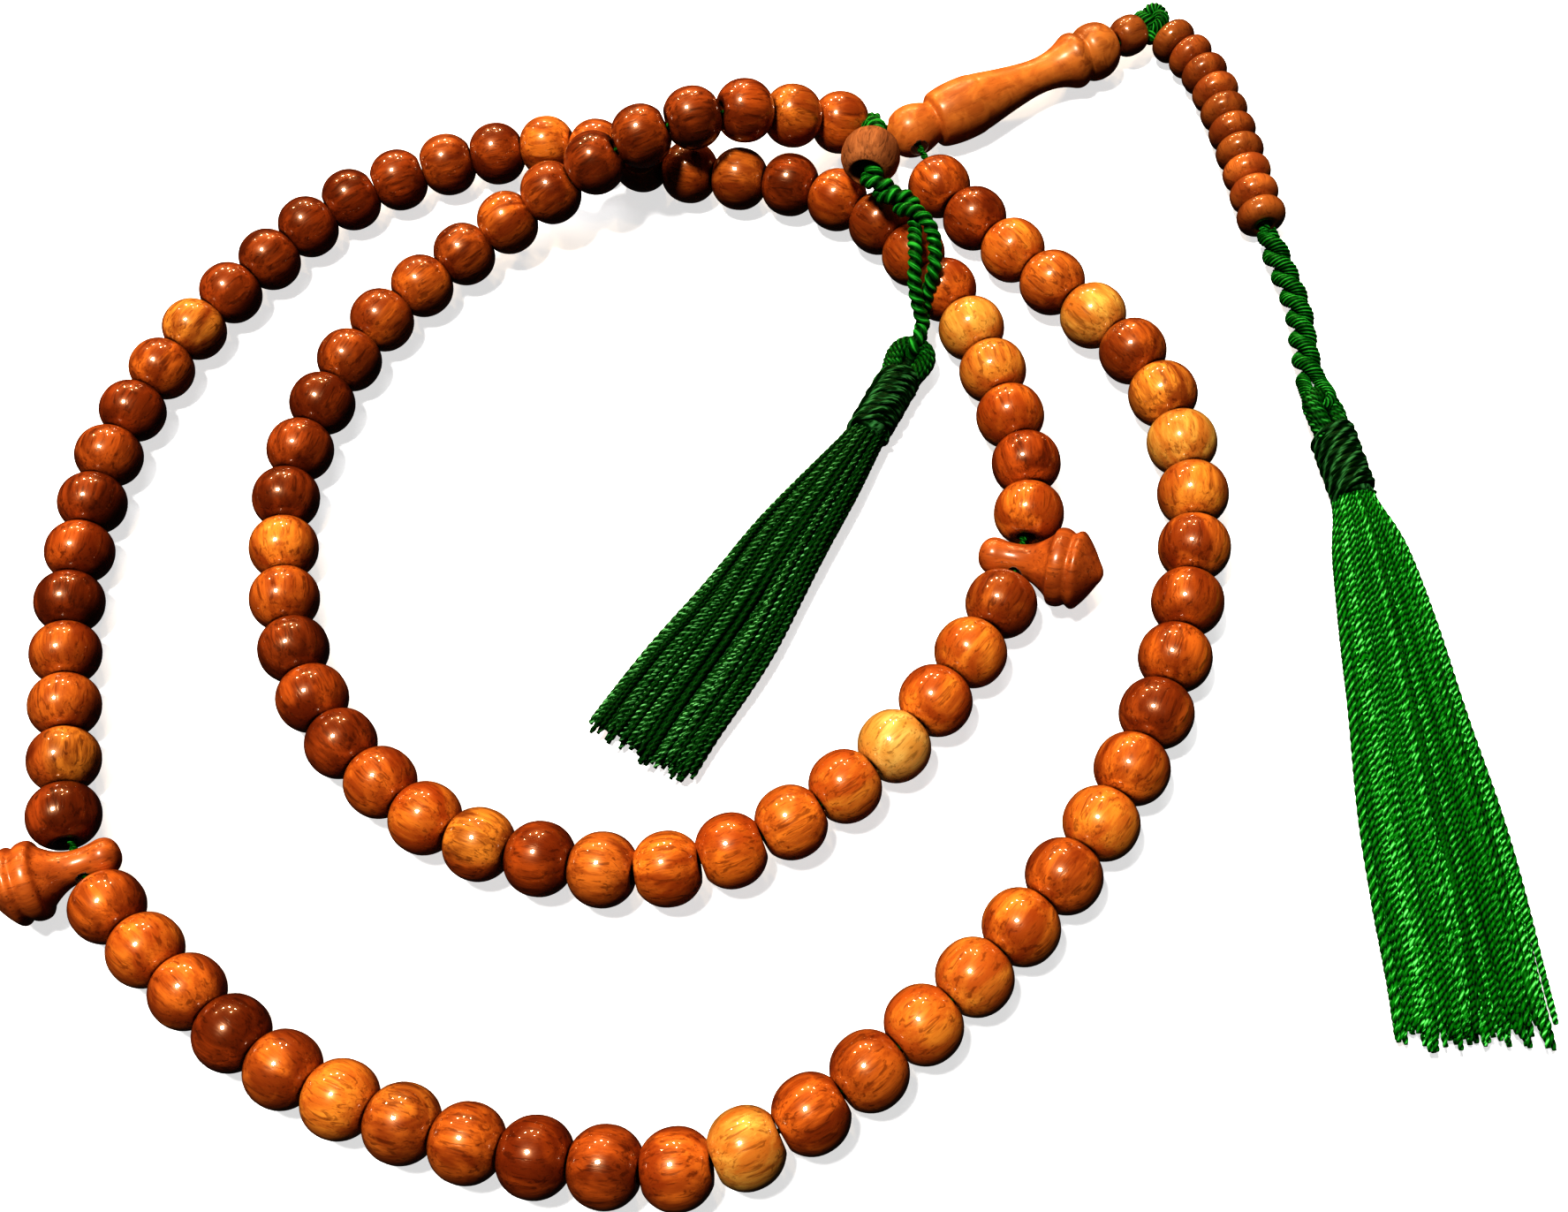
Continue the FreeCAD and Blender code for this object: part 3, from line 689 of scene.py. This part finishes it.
end_bead_centre = box_middle("end_bead")
leader_start, leader_axis, leader_length = long_frame("leader", towards=end_bead_centre)
ball_centre = np.array(joints["leader_swing"]["pos_m"])
LEADER_PROFILE = [
    (0, 0), (0.12, 0.9), (0.5, 1.75), (1.2, 2.6), (2.2, 3.2), (3.4, 3.42), (4.6, 3.3), (5.7, 2.95),
    (6.35, 2.66), (6.6, 2.62), (6.75, 2.9), (6.9, 3.35), (7.2, 3.6), (8.2, 3.82), (9.6, 3.98),
    (11.2, 4.0), (12.4, 3.94), (13.1, 3.8), (13.35, 3.7), (13.6, 3.7), (14.6, 3.5), (16.5, 3.1), (19, 2.65),
    (21.0, 2.36), (22.6, 2.28), (24.2, 2.42), (25.6, 2.8), (26.5, 3.22), (27.1, 3.54), (27.6, 3.68),
    (28.1, 3.62), (28.5, 3.42), (28.8, 3.2), (28.95, 3.15), (29.1, 3.22), (29.4, 3.46), (30.0, 3.7),
    (30.9, 3.78), (31.9, 3.62), (32.8, 3.15), (33.5, 2.4), (33.9, 1.6), (34.0, 1.2), (33.8, 0.98),
    (20, 0.95), (4, 0.95), (3.9, 0),
]


def smoothed(profile, spacing=0.18):
    """The profile with more points on it, curved between them."""
    line = [(radius * MM, 0.0, height * MM) for height, radius in profile]
    return [(z / MM, max(x / MM, 0.0)) for x, _, z in smooth_line(line, spacing * MM)]


LEADER_TONES = ((0.62, 0.185, 0.032), (0.35, 0.082, 0.013))


def leader_tone(angle, height):
    """The ball is a little lighter than the belly and the neck, and the end is the brownest."""
    shade = float(np.interp(height, [6.6, 7.2, 13.0, 14.0, 26.5, 27.6], [1.0, 0.93, 0.93, 0.97, 0.97, 0.62]))
    return tuple(tuple(part * shade for part in tone) for tone in LEADER_TONES)


leader = lathe("leader_wood", smoothed(LEADER_PROFILE), 72, LEADER_WOOD,
               standing(leader_start, leader_axis), leader_tone, 31)
for _, bead_centre, _ in (order[0], order[-1]):
    drilled(leader, ball_centre, bead_centre - ball_centre, 1.2, 4.4)
place(leader, "leader", "satin_wood", "leader")

SEPARATOR_PROFILE = [
    (0, 0), (0.1, 0.7), (0.35, 1.35), (0.9, 1.9), (1.5, 2.1), (2.1, 2.08), (2.6, 1.95), (3.3, 1.82),
    (4.3, 1.78), (5.2, 1.86), (6.2, 2.15), (7.1, 2.65), (7.9, 3.25), (8.25, 3.6), (8.4, 3.95), (8.55, 4.25),
    (8.9, 4.42), (9.5, 4.45), (10.0, 4.3), (10.3, 4.08), (10.45, 4.02), (10.65, 4.1), (10.95, 4.36),
    (11.3, 4.4), (11.6, 4.25), (11.9, 3.9), (12.4, 3.3), (13.0, 2.4), (13.6, 1.35), (13.9, 0.9), (14.1, 0.5),
    (14.2, 0),
]
for number in (1, 2):
    node = f"separator_{number}"
    start, axis, _ = long_frame(node)
    waist = np.array(joints[f"separator_{number}_tip"]["pos_m"])
    through = np.array(joints[f"separator_{number}_tip"]["axis"])
    bobbin = lathe(f"separator_{number}_wood", smoothed(SEPARATOR_PROFILE, 0.16), 64, SEPARATOR_WOOD,
                   standing(start, axis), even_tone((0.60, 0.155, 0.024), (0.25, 0.050, 0.009)), 40 + number)
    for side in (1, -1):
        drilled(bobbin, waist - through * side * 0.5 * MM, through * side, 0.9, 5)
    place(bobbin, node, "satin_wood", node)


def small_bead_profile(radius, half):
    """The end bead's or a counter's profile, a superellipse cut off at its mouths."""
    outside, steps, square = [], 16, 2.5
    for step in range(steps + 1):
        height = half * math.sin(math.pi / 2 * (2 * step / steps - 1))
        outside.append((height, radius * (1 - abs(height / half * 0.9) ** square) ** (1 / square)))
    return bored(outside, [(half + 0.02, BORE + 0.2), (half - 0.15, BORE)])


def spin_of(name):
    joint = joints[name]
    return np.array(joint["pos_m"]), np.array(joint["axis"])


COUNTER_TONES = ((0.56, 0.165, 0.030), (0.26, 0.057, 0.011))
# how light the end bead and each counter is
SMALL_SHADES = (0.62, 0.62, 1.05, 0.82, 1.0, 0.75, 0.85, 0.65, 1.15, 1.1, 0.7)
small_beads = [("end_bead", 2.65, 2.1)] + [(f"counter_{number:02d}", 3.0, 1.66) for number in range(1, 11)]
for number, (node, radius, half) in enumerate(small_beads):
    draw = random.Random(500 + number)
    centre, axis = spin_of(node + "_spin")
    light, dark = (tuple(part * SMALL_SHADES[number] for part in varied(tone, draw, 0.06))
                   for tone in COUNTER_TONES)
    small = lathe(node + "_wood", small_bead_profile(radius, half), 40, COUNTER_WOOD,
                  standing(centre, axis, draw.uniform(0, 6)), even_tone(light, dark), 600 + number,
                  wobble=0.005)
    place(small, node, "counter_wood", node)


def cup_mouth_shade_and_wear(height, radius):
    """The mouth and the bore are dark: painted shade inside the hollow, with chips of real wear."""
    return 1.2 if radius < 2.1 and height > -2.8 else 0.0


cup_centre, cup_axis = spin_of("cup_bead_spin")
CUP_PROFILE = [
    (-2.95, 1.6), (-2.9, 2.0), (-2.55, 2.6), (-1.9, 3.15), (-1.0, 3.55), (0, 3.7), (1.0, 3.6), (1.9, 3.22),
    (2.55, 2.75), (2.86, 2.4), (2.95, 2.24), (2.88, 2.1), (2.2, 1.92), (1.2, 1.6), (0.4, 1.32), (-2.6, 1.27),
    (-2.85, 1.35), (-2.95, 1.6),
]
cup = lathe("cup_bead_wood", CUP_PROFILE, 56, RAW_WOOD, standing(cup_centre, cup_axis),
            even_tone((0.42, 0.150, 0.046), (0.20, 0.062, 0.018)), 77, cup_mouth_shade_and_wear, 0.006)
place(cup, "cup_bead", "raw_wood", "cup_bead")

# ---------------------------------------------------------------------------------------------------------
# Cords that the object holds: through the beads, and through the leader and the counters
# ---------------------------------------------------------------------------------------------------------


def two_strand_rope(strands, line, strand_radius, turns_per_metre, **ply):
    """Adds two strands that wind round a line and press together a little."""
    for phase in (0.0, math.pi):
        wound = evenly(coiled_round(line, strand_radius * 0.96, turns_per_metre, phase), 0.22 * MM)
        strands.add(wound, strand_radius, phase=phase, **ply)
    return strands


waists = {33: np.array(joints["separator_1_tip"]["pos_m"]), 66: np.array(joints["separator_2_tip"]["pos_m"])}
strand_stops = [ball_centre + unit(order[0][1] - ball_centre) * 1.2 * MM]
for number, (_, centre, _) in enumerate(order, 1):
    strand_stops.append(centre)
    if number in waists:
        strand_stops.append(waists[number])
strand_stops.append(ball_centre + unit(order[-1][1] - ball_centre) * 1.2 * MM)
main_cord = two_strand_rope(Strands(), smooth_line(strand_stops, 0.3 * MM), 0.25 * MM, 420,
                            per_lobe=3, twist=900).piece("main_cord_thread", CORD_THREAD)
place(main_cord, "strand", "cord_thread", "main_cord")

leader_tip = leader_start + leader_axis * leader_length
knot_centre = box_middle("knot")
tail_start = np.array(joints["tail_swing"]["pos_m"])
tail_out = unit(tail_start - spin_of("counter_10_spin")[0])
end_bead_axis = spin_of("end_bead_spin")[1]
counter_stops = [spin_of(f"counter_{number:02d}_spin")[0] for number in range(1, 11)]
tail_middle = tail_start - 0.3 * MM * UP
leader_cord = Strands()
for stops in (
        [leader_tip - leader_axis * 4 * MM, leader_tip,
         end_bead_centre, end_bead_centre + end_bead_axis * 3.5 * MM],
        [knot_centre, *counter_stops, tail_middle, tail_middle + tail_out * 1.2 * MM]):
    two_strand_rope(leader_cord, smooth_line(stops, 0.3 * MM), 0.38 * MM, 330, twist=700)
place(leader_cord.piece("leader_cord_thread", CORD_THREAD), "leader", "cord_thread", "leader_cord")

# The knot is a trefoil of fat cord, with three strands that come out between the end bead and counter 1.
knot_loop = []
for step in range(181):
    turn = math.tau * step / 180
    wide = 1.12 + 0.5 * math.cos(3 * turn)
    knot_loop.append(knot_centre + MM * np.array([
        wide * math.cos(2 * turn + 0.5) - 0.35, wide * math.sin(2 * turn + 0.5),
        0.3 + 0.7 * math.sin(3 * turn)]))
knot = Strands()
knot.add(evenly(np.array(knot_loop), 0.12 * MM), 0.95 * MM, lobes=6, per_lobe=4, twist=380, depth=0.22)
for heading, reach in ((3.4, 3.3), (4.3, 3.6), (4.9, 3.3)):
    outward = np.array([math.cos(heading), math.sin(heading), 0.1])
    knot.add(smooth_line([knot_centre, knot_centre + outward * reach * 0.5 * MM,
                          knot_centre + (outward * reach - UP * 0.5) * MM], 0.12 * MM),
             0.75 * MM, lobes=3, twist=500)
place(knot.piece("knot_thread", CORD_THREAD), "leader", "cord_thread", "knot")

# ---------------------------------------------------------------------------------------------------------
# The two free cords, each folded double through its tassel's eye and twisted with itself
# ---------------------------------------------------------------------------------------------------------

TAIL_ROUTE = np.array([
    (76.73, 30.9, 2.75), (77.1, 25.7, 2.3), (77.3, 18.9, 2.0), (75.9, 12.9, 2.0), (75.3, 8.6, 2.4)]) * MM
HANGER_ROUTE = np.array([
    (32.2, 56.9, 5.9), (32.1, 52.3, 10.9), (28.8, 43.3, 11.5), (32.9, 39.6, 11.0), (34.4, 35.8, 10.6),
    (33.9, 31.0, 10.1), (32.6, 28.3, 7.4), (32.4, 26.2, 4.2)]) * MM


class Tassel:
    """Where a tassel's eye and binding are, and which thread its skirt has."""

    def __init__(self, name, skirt_thread):
        self.name = name
        self.thread = skirt_thread
        points, triangles = solids_of(name + "_eye")[0]
        self.eye, directions = solid_frame(points, triangles)
        self.eye_axis = directions[0]
        points, triangles = solids_of(name + "_binding")[0]
        self.middle, directions = solid_frame(points, triangles)
        self.ahead = directions[2]
        if (self.middle - self.eye) @ self.ahead < 0:
            self.ahead = -self.ahead
        self.half = ((points - self.middle) @ self.ahead).max()
        self.side = np.cross(UP, self.ahead)


def folded(route, strand_radius, open_by, turned_by, link, link_ahead, link_side, link_radius):
    """The line of one cord that goes down a route, through an eye and back, twisted with itself.

    open_by and turned_by give, for a share of the way, how far the two halves are apart compared with
    touching, and how many turns they still make before the eye.
    """
    line = smooth_line(route, 0.2 * MM)
    ahead, across, over = carried_frames(line)
    share = np.linspace(0, 1, len(line))
    last = math.atan2(link_side @ over[-1], link_side @ across[-1])
    angle = last - math.tau * turned_by(share)
    out = (strand_radius * open_by(share))[:, None] * (
        np.cos(angle)[:, None] * across + np.sin(angle)[:, None] * over)
    bend = np.linspace(0, math.pi, 25)[:, None]
    fold = link + link_radius * (np.cos(bend) * link_side + np.sin(bend) * link_ahead)
    whole = evenly(np.concatenate([line + out, fold, (line - out)[::-1]]), 0.2 * MM)
    for _ in range(6):
        whole[1:-1] = (whole[:-2] + 2 * whole[1:-1] + whole[2:]) / 4
    return evenly(whole, 0.2 * MM)


def free_cord(name, line, strand_radius, **ply):
    """A cord of one strand along line."""
    cord = Strands().add(line, strand_radius, **ply).piece(name, CORD_THREAD)
    return cord


long_tassel, short_tassel = Tassel("long_tassel", LONG_THREAD), Tassel("short_tassel", SHORT_THREAD)

TAIL_STRAND, HANGER_STRAND = 0.88 * MM, 0.92 * MM
tail_line = folded(
    TAIL_ROUTE, TAIL_STRAND,
    lambda share: np.interp(share, [0, 0.09, 0.9, 1], [0.4, 1.0, 1.0, 1.05]),
    lambda share: 3.6 * (1 - share),
    long_tassel.eye - long_tassel.ahead * 1.9 * MM, long_tassel.ahead, long_tassel.side, 1.2 * MM)
tail = free_cord("tail_cord_thread", tail_line, TAIL_STRAND, lobes=6, per_lobe=4, twist=380, depth=0.2)
place(tail, "tail", "cord_thread", "tail_cord")

hanger_line = folded(
    HANGER_ROUTE, HANGER_STRAND,
    lambda share: np.interp(share, [0, 0.2, 0.42, 0.62, 0.72, 0.82, 0.93, 1],
                            [0.8, 0.65, 0.8, 1.0, 1.3, 1.3, 1.05, 0.95]),
    lambda share: np.interp(share, [0, 0.62, 0.72, 0.84, 1], [4.3, 0.5, 0.28, 0.23, 0.0]),
    short_tassel.eye - short_tassel.ahead * 2.0 * MM, short_tassel.ahead, UP, 1.5 * MM)
hanger = free_cord(
    "hanger_cord_thread", hanger_line, HANGER_STRAND, lobes=2, per_lobe=8, twist=400, depth=0.34)
place(hanger, "strand", "cord_thread", "hanger_cord")

loop_points, loop_triangles = solids_of("hanger_loop")[0]
loop_centre, loop_directions = solid_frame(loop_points, loop_triangles)
loop_line = []
for step in range(73):
    turn = math.tau * step / 60
    spot = math.cos(turn) * loop_directions[1] + math.sin(turn) * loop_directions[2]
    loop_line.append(loop_centre + spot * 1.35 * MM + loop_directions[0] * (step / 72 - 0.5) * 0.9 * MM)
hanger_loop = Strands().add(evenly(np.array(loop_line), 0.15 * MM), 0.5 * MM, twist=500)
place(hanger_loop.piece("hanger_loop_thread", CORD_THREAD), "strand", "cord_thread", "hanger_loop")

# ---------------------------------------------------------------------------------------------------------
# Tassels
# ---------------------------------------------------------------------------------------------------------


FIBRES = 13  # in an eye: one fat one with the others round it
BINDING_TURNS = 13
SKIRT_TWIST = -640
GOLDEN_ANGLE = 2.399963


def make_eye(tassel, upright, seed):
    """A fat pear-shaped loop of fibres that closes over the binding, with a nearly black strand in its
    middle as painted shadow in the hole.

    upright says how far the loop is turned to lie flat.
    """
    draw = random.Random(seed)
    axis = unit(tassel.eye_axis * math.copysign(1, tassel.eye_axis[2]) + UP * upright)
    across = unit(np.cross(axis, tassel.ahead))
    right = [(0.9, 6.0), (1.15, 4.6), (1.35, 3.2), (1.6, 1.9), (1.9, 0.6), (1.85, -0.6), (1.15, -1.6)]
    shape = right + [(0.0, -1.9)] + [(-x, y) for x, y in reversed(right)]
    drop = tassel.middle[2] - tassel.eye[2]
    control = [tassel.eye + MM * (x * across + y * tassel.ahead) + UP * drop * min(1, max(0, (y - 1.5) / 3))
               for x, y in shape]
    line = smooth_line(control, 0.2 * MM)
    strands = Strands()
    for number in range(FIBRES):
        angle = math.tau * number / (FIBRES - 1)
        fibre = coiled_round(line, (0.84 + draw.uniform(-0.05, 0.05) if number else 0.0) * MM, 40, angle)
        strands.add(evenly(fibre, 0.2 * MM), (0.40 if number else 0.8) * MM, lobes=2, per_lobe=4,
                    twist=600, phase=draw.uniform(0, 6), shade=draw.uniform(0.75, 1.0))
    # A thick, nearly black strand inside the loop is painted shadow in its hole.
    hole_shadow_line = [tassel.eye + MM * (y * tassel.ahead - 0.6 * axis) for y in (-2.5, -0.6, 1.6)]
    strands.add(evenly(np.array(hole_shadow_line), 0.3 * MM), 1.15 * MM, shade=0.1)
    piece = strands.piece(tassel.name + "_eye_thread", EYE_THREAD)
    place(piece, tassel.name, "binding_thread", tassel.name + "_eye")


def make_binding(tassel, tilt, seed):
    """A plain core under close turns of thread that lean to one side by tilt millimetres."""
    draw = random.Random(seed)
    half = tassel.half / MM
    ahead, side = tassel.ahead, tassel.side
    up = unit(np.cross(ahead, side))
    line = []
    steps = 40
    count = BINDING_TURNS * steps
    for step in range(count + 1):
        turn = math.tau * step / steps
        along = (-half + 0.35) + (2 * half - 0.7) * step / count
        room = min(1, 0.3 + (half - abs(along)) / 2)
        slope = room * tilt * math.cos(turn - 0.6) * (1 + 0.15 * math.sin(turn * 0.37))
        out = 2.28 + 0.05 * math.sin(turn * 0.61 + seed) + 0.04 * draw.uniform(-1, 1)
        line.append(tassel.middle + MM * (
            ahead * (along + slope) + out * (math.cos(turn) * side + math.sin(turn) * up)))
    strands = Strands()
    strands.add(evenly(np.array(line), 0.2 * MM), 0.40 * MM, lobes=2, per_lobe=5, twist=190, depth=0.34)
    core = np.array([tassel.middle + ahead * height * half * 0.98 * MM for height in (-0.97, 0, 0.97)])
    strands.add(evenly(core, 0.5 * MM), 2.05 * MM, lobes=3, per_lobe=10, twist=0, depth=0.0)
    piece = strands.piece(tassel.name + "_binding_thread", BINDING_THREAD)
    place(piece, tassel.name, "binding_thread", tassel.name + "_binding")


def slices(node, ahead, side, count, limit):
    """The middle, the half width, and the lowest and highest z of a node at even steps along ahead."""
    points, triangles = solids_of(node)[0]
    edges = np.unique(np.sort(np.concatenate([triangles[:, pair] for pair in ((0, 1), (1, 2), (2, 0))]),
                              axis=1), axis=0)
    first, second = points[edges[:, 0]], points[edges[:, 1]]
    start, end = first @ ahead, second @ ahead
    rows = []
    for level in np.linspace((points @ ahead).min() + 0.4 * MM, limit, count):
        crossing = (start - level) * (end - level) < 0
        weight = ((level - start[crossing]) / (end[crossing] - start[crossing]))[:, None]
        cut = first[crossing] * (1 - weight) + second[crossing] * weight
        across = cut @ side
        rows.append(((across.min() + across.max()) / 2 * side + level * ahead,
                     (across.max() - across.min()) / 2, cut[:, 2].min(), cut[:, 2].max()))
    return rows


def end_face(node, ahead):
    """The flat far end of a skirt: its normal, and the same values as one of the slices."""
    points, triangles = solids_of(node)[0]
    first, second, third = (points[triangles[:, corner]] for corner in range(3))
    normals = np.cross(second - first, third - first)
    facing = normals @ ahead > 0.8 * np.linalg.norm(normals, axis=1)
    normal = unit(normals[facing].sum(axis=0))
    side = np.cross(UP, normal)
    rim = points[np.unique(triangles[facing])]
    across = rim @ side
    return normal, ((across.min() + across.max()) / 2 * side + (rim @ normal).mean() * normal,
                    (across.max() - across.min()) / 2, rim[:, 2].min(), rim[:, 2].max())


def make_skirt(tassel, threads, radius, ragged, seed, groups):
    """Twisted threads that leave the binding in a tight bundle and fan out into a flat brush.

    They fill the CAD skirt's slices, shared out evenly over a disc, and end unevenly by about ragged
    millimetres.  They are collected in a few groups, one piece each.
    """
    draw = random.Random(seed)
    node = tassel.name + "_skirt"
    normal, last = end_face(node, tassel.ahead)
    nearest_corner = last[0] @ tassel.ahead - abs(last[1] * np.cross(UP, normal) @ tassel.ahead)
    count = 12
    rows = slices(node, tassel.ahead, tassel.side, count, nearest_corner - 3 * MM) + [last]
    sides = np.array([tassel.side] * count + [np.cross(UP, normal)])
    middles = np.array([row[0] for row in rows])
    widths, lows, highs = (np.array([row[part] for row in rows]) for part in (1, 2, 3))
    share = np.linspace(0, 1, len(rows))
    middles += (0.35 * MM * share * np.sin(share * 8 + seed))[:, None] * sides
    widths *= 1 + 0.05 * np.sin(share * 10 + seed * 2) * share
    collected = [Strands() for _ in range(groups)]
    for number in range(threads):
        ring = math.sqrt((number + 0.5) / threads)
        angle = number * GOLDEN_ANGLE + draw.uniform(-0.12, 0.12)
        across, above = ring * math.cos(angle), ring * math.sin(angle)
        swing = [draw.uniform(-1, 1) for _ in range(4)]
        drift = 0.09 * swing[0] * share ** 1.5 + 0.07 * swing[1] * np.sin(share * (6 + 3 * swing[2])) * share
        lift = 0.12 * swing[3] * np.sin(share * 4 + swing[1] * 3) * share
        size = radius * (0.72 + 0.28 * np.clip(share * 3, 0, 1))
        sideways = np.clip(across + drift, -1, 1) * np.maximum(widths - size, 0.2 * MM)
        thick = (highs - lows) / 2 - size
        height = (highs + lows) / 2 + np.clip(above + lift, -1, 1) * thick
        control = middles + sideways[:, None] * sides
        control[:, 2] = np.maximum(height, size + 0.05 * MM)
        control[-1] += normal * min(max(draw.gauss(-0.2, ragged), -2 * ragged), 2 * ragged) * MM
        start = control[0] - tassel.ahead * 1.6 * MM
        start[2] = tassel.middle[2] + (control[0, 2] - tassel.middle[2]) * 0.8
        line = smooth_line([start, *control], 0.25 * MM)
        taper = np.interp(np.linspace(0, 1, len(line)), [0, 0.3, 0.985, 1], [0.72, 1, 1, 0.75])
        # Clumps and single threads are painted darker, as painted shade in the gaps between them.
        clump_shade = 0.91 + 0.09 * math.sin(8 * across + seed)
        collected[number % groups].add(
            line, radius, lobes=2, per_lobe=4, depth=0.36, taper=taper,
            twist=SKIRT_TWIST * draw.uniform(0.65, 1.2), phase=draw.uniform(0, 6),
            shade=clump_shade * draw.choice((0.62, 0.84, 0.96, 1.0, 1.0)))
    for group, strands in enumerate(collected, 1):
        piece = strands.piece(f"{tassel.name}_skirt_threads_{group}", tassel.thread)
        place(piece, tassel.name, "tassel_thread", node)


make_eye(long_tassel, upright=0.9, seed=5)
make_binding(long_tassel, tilt=-0.7, seed=6)
make_skirt(long_tassel, threads=205, radius=0.35 * MM, ragged=1.0, seed=7, groups=5)
make_eye(short_tassel, upright=0.0, seed=8)
make_binding(short_tassel, tilt=-1.3, seed=9)
make_skirt(short_tassel, threads=175, radius=0.33 * MM, ragged=0.8, seed=10, groups=4)
